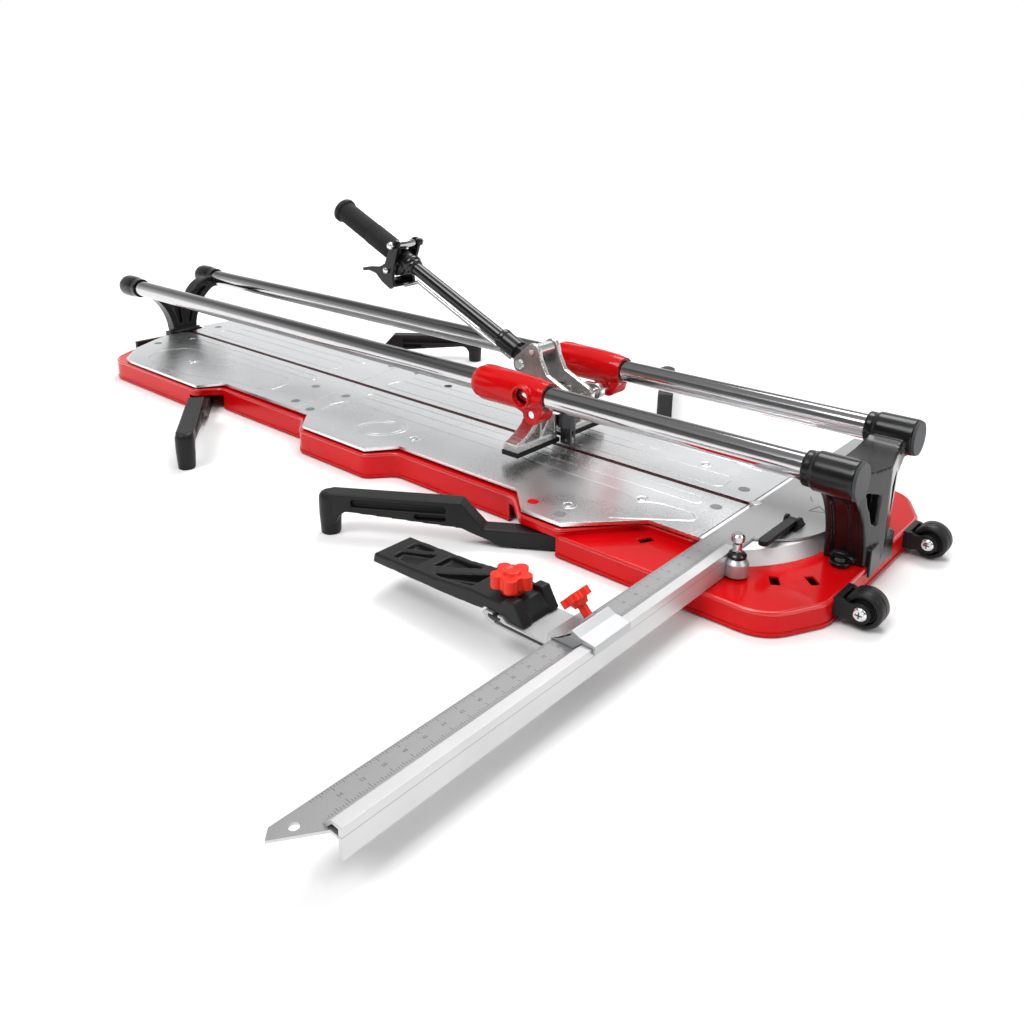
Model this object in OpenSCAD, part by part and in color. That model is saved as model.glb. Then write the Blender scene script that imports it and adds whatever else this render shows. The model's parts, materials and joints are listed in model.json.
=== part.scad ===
// Manual tile cutter: pressed steel base, twin chromed rails, sliding scoring and breaking
// head, swing-out side supports, rotating square with a sliding stop, transport wheels.
// X runs along the rails towards the wheels, Y across the machine, Z up.
// The origin is on the floor under the score line.

/* [Rails] */
// Diameter of each guide rail
rail_d = 30; // [28:0.5:32]
// Distance from the score line to each rail axis
rail_y = 84; // [80:1:88]
// Height of the rail axes above the floor
rail_z = 144; // [140:1:150]
// Wall of the rail tubes
rail_wall = 3; // [2:0.5:5]

/* [Base] */
// Thickness of the pressed steel sheet
sheet_t = 2.5; // [1.5:0.5:3]
// Height of the low deck at the square end
low_deck_z = 28; // [27:0.5:28]
// Height of the raised bed under the deck plates
bed_z = 36; // [34:0.5:37]
// Height of the rolled rim at the foot of the wall
rim_h = 6; // [4:0.5:8]

/* [Deck plates] */
// Height of the cutting surface
deck_z = 44; // [43:0.5:44]
// Depth of the folded plate edge
fold_h = 5; // [3:0.5:6]
// Width of the gap along the score line
slot_w = 9; // [7:1:12]

/* [Head] */
// Carriage position along the rails, centre of the red shells
head_x = 279; // [270:1:290]
// Angle of the handle above the rails
handle_tilt = 24; // [15:1:40]
// Length of the handle from its pivot
handle_len = 444; // [400:1:480]
// Diameter of the handle tube
tube_d = 20; // [18:1:22]
// Length of the rubber grip
grip_len = 136; // [120:1:150]

/* [Square] */
// Reach of the ruler on the operator's side
ruler_near = 692; // [600:1:700]
// Reach of the ruler on the far side
ruler_far = 300; // [200:1:300]
// Width of the ruler over its flange
ruler_w = 44; // [38:1:46]

/* [Supports and wheels] */
// Length of a swing arm from its pivot to its foot
arm_len = 274; // [250:1:280]
// Diameter of a transport wheel
wheel_d = 39; // [34:1:39]
// Width of a transport wheel
wheel_w = 26; // [20:1:28]

/* [Hidden] */
$fn = 64;
fit = 0.05;
red = "#c8101a";
black = "#26272a";
steel = "#c9ccd0";
zinc = "#d6dade";

// Quadratic curve from a to c drawn towards b
function bow(a, b, c, n = 10) =
    [for (i = [0:n]) let (t = i / n) a * (1 - t) * (1 - t) + b * 2 * t * (1 - t) + c * t * t];
// Arc of points about a centre
function arc(c, r, from, to, n = 12) =
    [for (i = [0:n]) let (a = from + (to - from) * i / n) c + r * [cos(a), sin(a)]];
// Point where two lines cross, each given by a point and a direction
function cross_at(p, u, q, v) =
    let (k = ((q.x - p.x) * v.y - (q.y - p.y) * v.x) / (u.x * v.y - u.y * v.x)) p + k * u;
function unit(v) = v / norm(v);
// Counter-clockwise outline with every edge moved inwards by d
function inset(p, d) = [
    for (i = [0:len(p) - 1])
        let (a = p[(i + len(p) - 1) % len(p)], b = p[i], c = p[(i + 1) % len(p)])
        let (u = unit(b - a), v = unit(c - b))
        cross_at(b + d * [-u.y, u.x], u, b + d * [-v.y, v.x], v)
];
// Outline with each corner drawn round: widely at the four ends, a little elsewhere
end_round = 30;
edge_round = 10;
function soften(p) = [
    for (i = [0:len(p) - 1])
        let (a = p[(i + len(p) - 1) % len(p)], b = p[i], c = p[(i + 1) % len(p)])
        let (r = abs(b.y) > 190 && abs(b.x) > 600 ? end_round : edge_round)
        each bow(b + r * unit(a - b), b, b + r * unit(c - b), 5)
];
function flip(p) = [for (i = [len(p) - 1:-1:0]) [p[i].x, -p[i].y]];
// Seam between the left and right plates, slanted across the score line
function seam_x(y) = -153 - 0.22 * y;

// ---- outlines in plan ----
// Near side of the base with its two waists; the far side is the same line turned half a turn
side_line = [
    [-343, -198], [-318, -163], [-90, -163], [-50, -198], [100, -198], [128, -163],
    [343, -163], [384, -198]
];
function turned(p) = [for (q = p) -q];
base_outline = soften(concat(
    [[-738, -30], [-709, -84], [-635, -198]], side_line, [[702, -198], [738, -131]],
    [[738, 131], [702, 198]], turned(side_line), [[-702, 198], [-738, 131]]
));
// The raised bed stops short of the square, where the deck is lower
bed_outline = soften(concat(
    [[-738, -30], [-709, -84], [-635, -198]], side_line,
    [[446, -198], [508, -118], [578, -118], [578, 118], [508, 118], [446, 198]],
    turned(side_line), [[-702, 198], [-738, 131]]
));
half_slot = slot_w / 2;
left_near = [
    [-706, -half_slot - 14], [-700, -60], [-650, -146], [-596, -190], [-571, -194],
    [-343, -194], [-322, -154], [seam_x(-154) - 0.4, -154], [seam_x(-half_slot) - 0.4, -half_slot],
    [-696, -half_slot]
];
right_near = [
    [seam_x(-half_slot) + 0.4, -half_slot], [seam_x(-154) + 0.4, -154], [-86, -154], [-46, -193],
    [96, -193], [124, -154], [343, -154], [386, -194], [446, -194], [516, -119], [581, -119],
    [581, -half_slot]
];
right_far = [
    [581, half_slot], [581, 119], [516, 119], [446, 194], [343, 194], [322, 154], [86, 154],
    [46, 193], [-96, 193], [-124, 154], [seam_x(154) + 0.4, 154], [seam_x(half_slot) + 0.4, half_slot]
];
left_far = [
    [seam_x(half_slot) - 0.4, half_slot], [seam_x(154) - 0.4, 154], [-343, 154], [-386, 194],
    [-690, 194], [-726, 128], [-726, 46], [-706, 34], [-700, half_slot]
];

// ---- base ----
// Swing arm pivots; turning the near pair half a turn gives the far pair
near_pivots = [[-345, -180], [425, -180]];
arm_pivots = concat(near_pivots, turned(near_pivots));
arm_low_z = 3;
arm_low_top = 23;
square_pivot = [590, 0];
index_r = 152;
index_slots = [-45, -22.5, 0, 15, 30];
plunger_at = -70.5;

module tray_block(d, drop) {
    translate([0, 0, drop == 0 ? 0 : -1])
        linear_extrude(low_deck_z - drop + (drop == 0 ? 0 : 1)) polygon(inset(base_outline, d));
    translate([0, 0, 1])
        linear_extrude(bed_z - drop - 1) polygon(inset(bed_outline, d));
}
// Opening in the wall that lets a swing arm turn from folded to straight out
module arm_mouth(p, x0, x1) translate([p.x + x0, -204, -1]) cube([x1 - x0, 64, arm_low_top + 3]);
module base_tray() color(red) {
    difference() {
        union() {
            tray_block(1, 0);
            translate([0, 0, 2]) linear_extrude(rim_h - 2) polygon(base_outline);
        }
        translate([0, 0, -1]) linear_extrude(3) polygon(inset(base_outline, -2));
        tray_block(1 + sheet_t, sheet_t);
        for (half = [0, 180]) rotate(half) {
            arm_mouth(near_pivots[0], -16, 33);
            arm_mouth(near_pivots[1], -86, 16);
        }
        for (a = index_slots)
            translate([square_pivot.x, 0, low_deck_z - 6]) rotate(plunger_at + a)
                translate([index_r - 9, -5, 0]) cube([18, 10, 12]);
        for (p = arm_pivots) translate([p.x, p.y, 20]) cylinder(r = 5, h = 30);
        translate([square_pivot.x, 0, 10]) cylinder(r = 5, h = 20);
        for (s = [-1, 1]) {
            translate([-722, s * 30, 20]) cylinder(r = 3.2, h = 30);
            translate([713, s * 46, 20]) cylinder(r = 3.2, h = 20);
        }
        translate([-26, -199, rim_h + 2]) cube([2, 2.2, 22]);
        translate([4, -199, rim_h + 4]) cube([84, 1.8, 18]);
    }
}
rib_x = [-560, -240, 0, 240, 620];
module base_ribs() color(red) for (x = rib_x)
    translate([x - 15, -156, 2]) difference() {
        cube([30, 312, low_deck_z - sheet_t - 2]);
        translate([2, -1, 2]) cube([26, 314, low_deck_z]);
    }
module base_pads() color("#1c1d1f") for (x = rib_x)
    translate([x - 14, -150, 0]) cube([28, 300, 2]);
module snap_bar() color(red)
    translate([-690, -1.5, bed_z]) cube([1262, 3, deck_z - bed_z - 0.5]);
strip_y = [-140, -60, 60, 132];
module bed_strips() color("#35373a") for (y = strip_y) {
    translate([-600, y, bed_z]) cube([400, 8, deck_z - 2 - bed_z]);
    translate([-90, y, bed_z]) cube([550, 8, deck_z - 2 - bed_z]);
}
// One pressed plate: a 2 mm sheet with its outer edges folded down
module pressed_plate(outline) color(zinc) difference() {
    translate([0, 0, deck_z - fold_h]) linear_extrude(fold_h) polygon(outline);
    translate([0, 0, deck_z - fold_h - 1]) linear_extrude(fold_h - 1) polygon(inset(outline, 2));
    for (p = plug_at) translate([p.x, p.y, deck_z - 6]) cylinder(r = plug_r, h = 10);
    for (p = screw_at) translate([p.x, p.y, deck_z - 6]) cylinder(r = 3.2, h = 10);
}
plug_r = 7;
plug_at = [
    [556, 35], [556, -35], [-25, 91], [384, -170], [-655, -95], [-690, 60],
    [-190, -60], [-110, -60], [-190, 110], [-120, 110], [-150, -130], [-98, -140], [478, 130], [430, -176]
];
screw_at = [[478, -76], [423, -150], [478, 76], [120, -120], [120, 120], [-480, -120], [-480, 120]];
module plate_left_near() pressed_plate(left_near);
module plate_left_far() pressed_plate(left_far);
module plate_right_near() pressed_plate(right_near);
module plate_right_far() pressed_plate(right_far);
module plate_plugs() color("#8d949c") for (p = plug_at)
    translate([p.x, p.y, deck_z - 4]) cylinder(r = plug_r, h = 4.3);
module plate_screws() color("#aeb4ba") for (p = screw_at)
    translate([p.x, p.y, 0]) {
        translate([0, 0, bed_z]) cylinder(r = 3.2, h = deck_z - bed_z);
        translate([0, 0, deck_z]) cylinder(r1 = 6, r2 = 4.5, h = 1.2);
    }

// ---- rails and their supports ----
rail_from = -782;
rail_to = 736;
module rail(side) color(steel) translate([rail_from, side * rail_y, rail_z]) rotate([0, 90, 0])
    difference() {
        cylinder(d = rail_d, h = rail_to - rail_from);
        translate([0, 0, -1]) cylinder(d = rail_d - 2 * rail_wall, h = rail_to - rail_from + 2);
    }
module rail_near() rail(-1);
module rail_far() rail(1);
// Extrude a Y-Z outline along X between two stations
module across(x0, x1) translate([x0, 0, 0]) rotate([90, 0, 90]) linear_extrude(x1 - x0) children();
module mirror_y() {
    children();
    mirror([0, 1, 0]) children();
}
rear_arch = concat(
    [[0, bed_z], [25, bed_z]], bow([25, 46], [30, 100], [70, 126], 12),
    [[84, 128], [84, 150]], bow([66, 150], [34, 146], [18, 118], 8), [[0, 112]]
);
rear_pocket = bow([14, 60], [19, 104], [52, 128], 10);
module rear_support() color(black) difference() {
    union() {
        mirror_y() across(-744, -716) polygon(rear_arch);
        for (s = [-1, 1]) translate([-787, s * rail_y, rail_z]) rotate([0, 90, 0])
            rotate_extrude() polygon(concat([[0, 0]], bow([6, 0], [20, 1], [21, 16], 8),
                bow([21, 26], [20.6, 44], [18.6, 52], 6), [[18.6, 65], [0, 65]]));
        translate([-736, -36, bed_z]) cube([24, 72, 9]);
    }
    for (s = [-1, 1]) translate([rail_from, s * rail_y, rail_z]) rotate([0, 90, 0])
        cylinder(d = rail_d, h = 100);
    mirror_y() across(-724, -700) polygon(concat(rear_pocket, [[60, 134], [24, 122], [9, 96], [6, 60]]));
    mirror_y() across(-760, -737) polygon(concat(rear_pocket, [[60, 134], [24, 122], [9, 96], [6, 60]]));
    for (s = [-1, 1]) translate([-722, s * 30, bed_z - 1]) cylinder(r = 3.2, h = 12);
}
front_foot_z = low_deck_z;
front_arch = concat(
    [[0, front_foot_z], [37, front_foot_z]], bow([37, 38], [38, 98], [80, 125], 14),
    [[84, 124], [84, 150], [68, 150]], bow([66, 146], [50, 137], [0, 136], 8)
);
front_inner = concat(
    [[-1, front_foot_z + 6], [26, front_foot_z + 6]], bow([26, 40], [27, 106], [70, 135], 14),
    [[58, 139], [44, 129], [-1, 128]]
);
// Hollow down the outer side of the arch, between its two flanges
front_hollow = concat([[80, front_foot_z + 5]], bow([32.5, 33], [33, 99], [72, 119], 14), [[90, 100]]);
window = [[19, 73], [17, 107], [44, 116], [41, 105], [27, 76]];
// The front wall stands out as a prow, with its crease above the score line
prow = [[719, -110], [742, 0], [719, 110], [708, 110], [731, 0], [708, -110]];
module front_support() color(black) difference() {
    union() {
        mirror_y() difference() {
            across(690, 730) difference() {
                polygon(front_arch);
                polygon(front_inner);
            }
            across(698, 718) polygon(front_hollow);
        }
        intersection() {
            mirror_y() across(700, 745) polygon(front_arch);
            linear_extrude(200) polygon(prow);
        }
        across(700, 733) polygon([[-6, 30], [6, 30], [6, 132], [-6, 132]]);
        for (s = [-1, 1]) translate([682, s * rail_y, rail_z]) rotate([0, 90, 0])
            cylinder(r = 19.5, h = 14);
        for (s = [-1, 1]) translate([694, s * rail_y, rail_z]) rotate([0, 90, 0])
            cylinder(r = 21.5, h = 44);
        across(738, 741) polygon([[-34, 50], [34, 50], [35, 16], [3, 20], [-3, 20], [-35, 16]]);
        for (s = [-1, 1]) translate([713, s * 46, low_deck_z]) {
            cylinder(r = 11, h = 6);
            translate([-11, -s * 6 - 8, 0]) cube([22, 16, 6]);
        }
    }
    for (s = [-1, 1]) translate([660, s * rail_y, rail_z]) rotate([0, 90, 0])
        cylinder(d = rail_d, h = rail_to - 660);
    mirror_y() across(715, 745) polygon(window);
    for (s = [-1, 1]) translate([713, s * 46, low_deck_z - 1]) cylinder(r = 3.2, h = 10);
}
module rail_end_caps() color("#303236") for (s = [-1, 1])
    translate([738, s * rail_y, rail_z]) rotate([0, 90, 0]) cylinder(r1 = 21, r2 = 20, h = 3);
module support_bolts() color("#3a3c40") for (s = [-1, 1]) {
    translate([713, s * 46, low_deck_z - 4]) cylinder(r = 3.2, h = 10);
    translate([713, s * 46, low_deck_z + 6]) cylinder(r1 = 6, r2 = 4.5, h = 3);
    translate([-722, s * 30, bed_z - 4]) cylinder(r = 3.2, h = 13);
    translate([-722, s * 30, bed_z + 9]) cylinder(r = 4.5, h = 3, $fn = 6);
}
module carry_handle() color(black) {
    for (y = [-21, 72]) translate([-754, y - 6, 14]) cube([17, 12, 12]);
    translate([-762, -90, 14]) cube([9, 180, 14]);
}

// ---- turntable bed, square and its stop ----
bed_c = [522, 0];
bed_r = 157;
bed_wide = 118;
module turntable_bed() color("#b9bbbd") difference() {
    intersection() {
        translate([bed_c.x, 0, low_deck_z]) cylinder(r1 = bed_r + 10, r2 = bed_r + 1, h = 15.5);
        translate([582, -bed_wide, low_deck_z]) cube([114, 2 * bed_wide, 15.5]);
    }
    translate([0, 0, low_deck_z - 1]) intersection() {
        translate([bed_c.x, 0, 0]) cylinder(r = bed_r - 3, h = 13.5);
        translate([598, -bed_wide + 4, 0]) cube([110, 2 * bed_wide - 8, 13.5]);
    }
    translate([square_pivot.x, 0, low_deck_z - 1]) cylinder(r = 5, h = 20);
}
ruler_z = 44.6;
scale_z = 47.2;
ridge_z = 55.4;
ruler_x = 590;
ruler_r = ruler_x + ruler_w;
flange_z = 29.2;
flange_y = 134;
disc_r = 94;
// The square: a flat plate with the scale, and beyond the bed a raised ridge with a deep flange
module square_ruler() color("#9fa2a5") {
    difference() {
        translate([0, 0, ruler_z]) linear_extrude(scale_z - ruler_z) difference() {
            union() {
                translate([ruler_x, -ruler_near + 34]) square([ruler_w - 4, ruler_near + ruler_far - 34]);
                polygon([
                    [ruler_x, -ruler_near + 34], [ruler_x, -ruler_near + 8],
                    [ruler_x + 8, -ruler_near], [ruler_r - 12, -ruler_near + 34]
                ]);
                polygon(concat([[ruler_x, -disc_r]], arc(square_pivot, disc_r, -84, 84, 28), [[ruler_x, disc_r]]));
                translate(square_pivot) circle(r = 8);
            }
            translate(square_pivot) circle(r = 5);
            translate([ruler_x + 12, -ruler_near + 20]) circle(r = 4);
        }
    }
    translate([0, -flange_y, 0]) rotate([90, 0, 0]) linear_extrude(ruler_near - flange_y - 34)
        polygon([
            [ruler_x + 24, scale_z], [ruler_x + 33, ridge_z], [ruler_r, ridge_z], [ruler_r, flange_z],
            [ruler_r - 3.5, flange_z], [ruler_r - 3.5, ridge_z - 2.6], [ruler_x + 34, ridge_z - 2.6],
            [ruler_x + 26, ruler_z], [ruler_x + 22, ruler_z]
        ]);
}
module square_bolt() color("#8d9196") translate([square_pivot.x, 0, 0]) {
    translate([0, 0, 22]) cylinder(r = 4.95, h = scale_z - 22);
    translate([0, 0, scale_z]) cylinder(r1 = 6.5, r2 = 5.5, h = 0.6);
}
plunger_xy = square_pivot + index_r * [cos(plunger_at), sin(plunger_at)];
boss_top = 50;
module plunger_boss() color("#c3c6c8") difference() {
    union() {
        translate([plunger_xy.x, plunger_xy.y, 31]) cylinder(r = 13, h = boss_top - 36);
        translate([plunger_xy.x, plunger_xy.y, boss_top - 5]) cylinder(r1 = 13, r2 = 9, h = 5);
        translate([plunger_xy.x, plunger_xy.y, 29.4]) cylinder(r1 = 9, r2 = 13, h = 1.6);
        translate([ruler_r, plunger_xy.y - 9, 32]) cube([6, 18, 14]);
    }
    translate([plunger_xy.x, plunger_xy.y, 25]) cylinder(r = 5, h = 40);
    translate([ruler_r - 11, -200, 20]) cube([11, 100, 40]);
}
module plunger_pin() color("#dcdfe2") translate([plunger_xy.x, plunger_xy.y, 0]) {
    translate([0, 0, low_deck_z + 0.6]) cylinder(r = 4.95, h = 30);
    translate([0, 0, 55]) cylinder(r = 6, h = 4, $fn = 6);
    translate([0, 0, 58]) cylinder(r = 5, h = 9);
    translate([0, 0, 66]) cylinder(r1 = 5, r2 = 7.2, h = 3);
    translate([0, 0, 69]) cylinder(r = 7.2, h = 6);
    translate([0, 0, 75]) cylinder(r1 = 7.2, r2 = 5.5, h = 2);
}
// Cam lever on the square: ears on the plate, and a lever that lifts about a cross pin
cam_at = [650, -30, 54];
cam_len = 72;
module cam_bracket() color("#17181a") difference() {
    union() {
        translate([cam_at.x - 9, cam_at.y - 12, scale_z]) cube([18, 26, 2]);
        for (x = [-9, 6]) translate([cam_at.x + x, 0, 0]) rotate([90, 0, 90]) linear_extrude(3)
            polygon(concat([[cam_at.y + 14, scale_z], [cam_at.y - 8, scale_z]],
                arc([cam_at.y, cam_at.z], 6.5, 200, 20, 8)));
    }
    translate([cam_at.x - 12, cam_at.y, cam_at.z]) rotate([0, 90, 0]) cylinder(r = 2, h = 24);
}
module cam_lever() color("#141517") translate(cam_at) {
    rotate([0, 90, 0]) translate([0, 0, -9]) cylinder(r = 1.95, h = 18);
    rotate([0, 90, 0]) translate([0, 0, -5.5]) cylinder(r = 4.6, h = 11);
    translate([-5.5, -cam_len, -2]) cube([11, cam_len, 5.5]);
    translate([0, -cam_len, -2]) cylinder(r = 5.5, h = 5.5);
}
// ---- sliding stop on the ruler ----
saddle_y0 = -388;
saddle_len = 54;
slot_x = 521;
module stop_saddle() color("#d4d6d8") translate([0, saddle_y0 + saddle_len, 0]) rotate([90, 0, 0])
    linear_extrude(saddle_len) difference() {
        polygon([
            [505, 41], [510, 34], [516, 32], [586, 32], [587, 44], [589.4, 44], [589.4, scale_z + 0.4],
            [ruler_x + 23.5, scale_z + 0.4], [ruler_x + 32.6, ridge_z + 0.4], [ruler_r + 0.4, ridge_z + 0.4],
            [ruler_r + 0.4, 50], [ruler_r + 3.4, 50], [ruler_r + 3.4, 59], [ruler_x + 31, 61],
            [ruler_x + 22, 65], [ruler_x + 8, 52], [585, 51], [584, 40], [535, 40], [530, 44], [508, 44]
        ]);
        polygon([[520, 34.5], [583, 34.5], [583, 37.5], [532, 37.5], [528, 38.5], [520, 38.5]]);
        polygon([[512, 41.5], [512, 37.5], [517, 36], [526, 38.3], [528, 41.5], [524, 41.5], [524, 45], [518, 45], [518, 41.5]]);
        polygon([[600, 53.5], [610, 58.5], [612, 61.5]]);
    }
knob_at = [slot_x, -364];
module star(r, lobe_r, h, lobes) linear_extrude(h) {
    circle(r = r - lobe_r + 1);
    for (i = [0:lobes - 1]) rotate(18 + i * 360 / lobes) translate([r - lobe_r, 0]) circle(r = lobe_r);
}
screw_at_saddle = [604, -352, 58.3];
module saddle_knob() color("#e2402c") translate(screw_at_saddle) rotate([0, -46, 0]) {
    translate([0, 0, 1.2]) cylinder(r = 4.5, h = 14);
    translate([0, 0, 12]) cylinder(r1 = 7, r2 = 9, h = 5);
    translate([0, 0, 17]) star(15.5, 5.5, 8, 5);
}
arm_y0 = -386;
arm_y1 = -334;
// Floor height and outline of the four pockets between the crossing ribs
arm_pockets = [
    [41, [[363, -341], [398, -341], [363, -357]]],
    [41, [[365, -364], [402, -347], [402, -378], [367, -378]]],
    [43, [[416, -341], [468, -341], [416, -366]]],
    [43, [[424, -379], [482, -350], [482, -379]]]
];
module stop_arm() color(black) difference() {
    union() {
        translate([0, arm_y1, 0]) rotate([90, 0, 0]) linear_extrude(arm_y1 - arm_y0) polygon([
            [342, 34], [345, 45], [440, 50], [485, 56], [540, 57], [552, 46], [554, 40.4], [537, 40.4],
            [531, 44.4], [504, 44.4], [502, 41], [458, 38]
        ]);
        for (y = [arm_y0, arm_y1 - 12]) translate([0, y + 12, 0]) rotate([90, 0, 0]) linear_extrude(12)
            polygon([[520, 50], [532, 62], [543, 63], [556, 41], [540, 41]]);
    }
    for (p = arm_pockets) translate([0, 0, p[0]]) linear_extrude(30) polygon(p[1]);
    translate([knob_at.x, knob_at.y, 40]) cylinder(r = 4.5, h = 40);
}
module arm_knob() color("#e2402c") translate([knob_at.x, knob_at.y, 0]) {
    translate([0, 0, 45]) cylinder(r = 4.4, h = 16);
    translate([0, 0, 58]) cylinder(r = 11, h = 9);
    translate([0, 0, 65]) star(21, 7, 13, 5);
    translate([0, 0, 77]) cylinder(r1 = 11, r2 = 9, h = 3);
}

// ---- transport wheels ----
wheel_c = [764, 100, 21];
bracket_cheek = concat(
    [[740, 10], [740, 30]], bow([745, 30], [751, 25], [760, 31], 6),
    arc([wheel_c.x, wheel_c.z], 10.5, 90, -90, 12), bow([758, 11], [750, 12], [746, 9], 5)
);
module wheel_bracket(s) color(black) translate([0, s * wheel_c.y, 0]) {
    translate([737, -wheel_w / 2 - 7, 10]) cube([6, wheel_w + 14, 20]);
    for (y = [-wheel_w / 2 - 6, wheel_w / 2 + 1]) translate([0, y, 0]) difference() {
        union() {
            translate([0, 5, 0]) rotate([90, 0, 0]) linear_extrude(5) polygon(bracket_cheek);
        }
        translate([wheel_c.x, -1, wheel_c.z]) rotate([-90, 0, 0]) cylinder(r = 4, h = 8);
    }
}
module wheel_bracket_near() wheel_bracket(-1);
module wheel_bracket_far() wheel_bracket(1);
module wheel(s) color("#1f2023") translate([wheel_c.x, s * wheel_c.y, wheel_c.z]) rotate([90, 0, 0])
    rotate_extrude() polygon([[4.05, -10], [12, -10], [13, -wheel_w / 2], [wheel_d / 2 - 2, -wheel_w / 2],
        [wheel_d / 2, -wheel_w / 2 + 2], [wheel_d / 2, wheel_w / 2 - 2], [wheel_d / 2 - 2, wheel_w / 2],
        [13, wheel_w / 2], [12, 10], [4.05, 10]]);
module wheel_near() wheel(-1);
module wheel_far() wheel(1);
module wheel_axles() color("#cfd3d6") for (s = [-1, 1])
    translate([wheel_c.x, s * wheel_c.y, wheel_c.z]) rotate([90, 0, 0]) {
        translate([0, 0, -wheel_w / 2 - 6]) cylinder(r = 4, h = wheel_w + 12);
        translate([0, 0, wheel_w / 2 + 6]) cylinder(r1 = 7, r2 = 5.5, h = 3);
        translate([0, 0, -wheel_w / 2 - 9]) cylinder(r = 6.5, h = 3, $fn = 6);
    }

// ---- head: shells on the rails ----
// Cross shaft under the rails that ties the shells together and carries the hinge block
shaft_at = [318, 120];
shaft_r = 5;
shell_x0 = 217;
shell_x1 = 338;
shell_bore = 17;
module shell_body(s) translate([0, s * rail_y, rail_z]) difference() {
    union() {
        translate([shell_x0, 0, 0]) rotate([0, 90, 0]) rotate_extrude()
            polygon(concat([[0, 0], [18.5, 0]], bow([19.5, 0.6], [22, 3], [22.6, 16], 5), [[23.8, 58]],
                bow([23.8, 58], [23.6, 92], [20.5, 112], 6), [[19, 121], [0, 121]]));
        translate([0, 14, 0]) rotate([90, 0, 0]) linear_extrude(28)
            polygon(concat([[270, -12], [338, -12]],
                arc([shaft_at.x, shaft_at.y - rail_z], 14, 0, -180, 14)));
        translate([308, 0, 0]) rotate([s * -90, 0, 0]) cylinder(r = 15.5, h = 25);
    }
    translate([shell_x0 - 1, 0, 0]) rotate([0, 90, 0]) cylinder(r = shell_bore, h = 130);
    translate([308, 0, 0]) rotate([s * -90, 0, 0]) cylinder(r = 12, h = 30);
    translate([shaft_at.x, 20, shaft_at.y - rail_z]) rotate([90, 0, 0]) cylinder(r = shaft_r, h = 40);
}
module shell_near() color(red) shell_body(-1);
module shell_far() color(red) shell_body(1);
module rail_bushes() color("#55595e") for (s = [-1, 1]) for (x = [shell_x0 + 1, shell_x1 - 21])
    translate([x, s * rail_y, rail_z]) rotate([0, 90, 0]) difference() {
        cylinder(r = shell_bore, h = 20);
        translate([0, 0, -1]) cylinder(r = rail_d / 2 + fit, h = 24);
    }
module cross_shaft() color("#c9cdd1") translate([shaft_at.x, 97, shaft_at.y]) rotate([90, 0, 0])
    cylinder(r = shaft_r, h = 194);

// ---- head: hinge block, breaker frame, scoring wheel ----
handle_pivot = [235, 157];
spacer_at = [257, 178];
foot_half = 97;
block_outline = concat(
    arc(handle_pivot, 13, 290, 130, 10), arc(spacer_at, 12, 150, 20, 8),
    [[272, 168], [282, 150], [300, 142]], arc(shaft_at, 13, 60, -100, 10),
    [[300, 118], [276, 118], [262, 130]]
);
// Plates on both sides of the handle, joined by a bar and standing on the breaker frame
module hinge_block() color("#8f9296") difference() {
    union() {
        for (s = [-1, 1]) translate([0, s * 20 + 4, 0]) rotate([90, 0, 0]) linear_extrude(8)
            polygon(block_outline);
        translate([274, -24, 118]) cube([20, 48, 10]);
    }
    translate([handle_pivot.x, 40, handle_pivot.y]) rotate([90, 0, 0]) cylinder(r = 5, h = 80);
    translate([spacer_at.x, 40, spacer_at.y]) rotate([90, 0, 0]) cylinder(r = 4, h = 80);
    translate([shaft_at.x, 40, shaft_at.y]) rotate([90, 0, 0]) cylinder(r = shaft_r + fit, h = 80);
    for (y = [-9, 9]) translate([281, y, 100]) cylinder(r = 3, h = 40);
}
frame_half = concat(
    [[0, 62], [foot_half, 62]], bow([foot_half, 72], [66, 80], [52, 108], 8), [[50, 118], [0, 118]]
);
// Pockets in the front face, which leave crossing ribs
frame_pockets = [
    [[18, 70], [43, 70], [20, 99]], [[49, 70], [84, 70], [62, 80], [49, 94]],
    [[45, 77], [44, 99], [44, 111], [18, 111], [22, 104]]
];
module breaker_frame() color("#d9dbdd") difference() {
    union() {
        translate([270, -foot_half, 60]) cube([25, 2 * foot_half, 8]);
        mirror_y() difference() {
            across(272, 294) polygon(frame_half);
            for (pocket = frame_pockets) across(279, 300) polygon(pocket);
        }
        for (s = [-1, 1]) translate([0, s * 44 + 5, 0]) rotate([90, 0, 0]) linear_extrude(10)
            polygon(concat([[278, 104], [278, 118], [300, 130]], arc(shaft_at, 12, 80, -110, 12)));
    }
    for (s = [-1, 1]) translate([shaft_at.x, s * 44 + 10, shaft_at.y]) rotate([90, 0, 0])
        cylinder(r = shaft_r + fit, h = 20);
    translate([268, -7, 50]) cube([30, 14, 24]);
    translate([288, -13.5, 50]) cube([12, 27, 80]);
    for (y = [-9, 9]) translate([281, y, 106]) cylinder(r = 3, h = 40);
}
module breaker_pad() color("#1b1c1f") difference() {
    translate([268, -foot_half - 1, 54]) cube([28, 2 * foot_half + 2, 6]);
    translate([260, -9, 50]) cube([44, 18, 12]);
}
module frame_bolts() color("#6f7378") for (y = [-9, 9]) translate([281, y, 106]) {
    cylinder(r = 2.99, h = 22);
    translate([0, 0, 22]) cylinder(r = 5.5, h = 4, $fn = 6);
}
module frame_spacer() color("#e3e6e8") {
    translate([spacer_at.x, 16, spacer_at.y]) rotate([90, 0, 0]) cylinder(r = 9.5, h = 32);
    translate([spacer_at.x, 26, spacer_at.y]) rotate([90, 0, 0]) cylinder(r = 3.95, h = 52);
}
score_c = [305, 0, 57];
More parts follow.
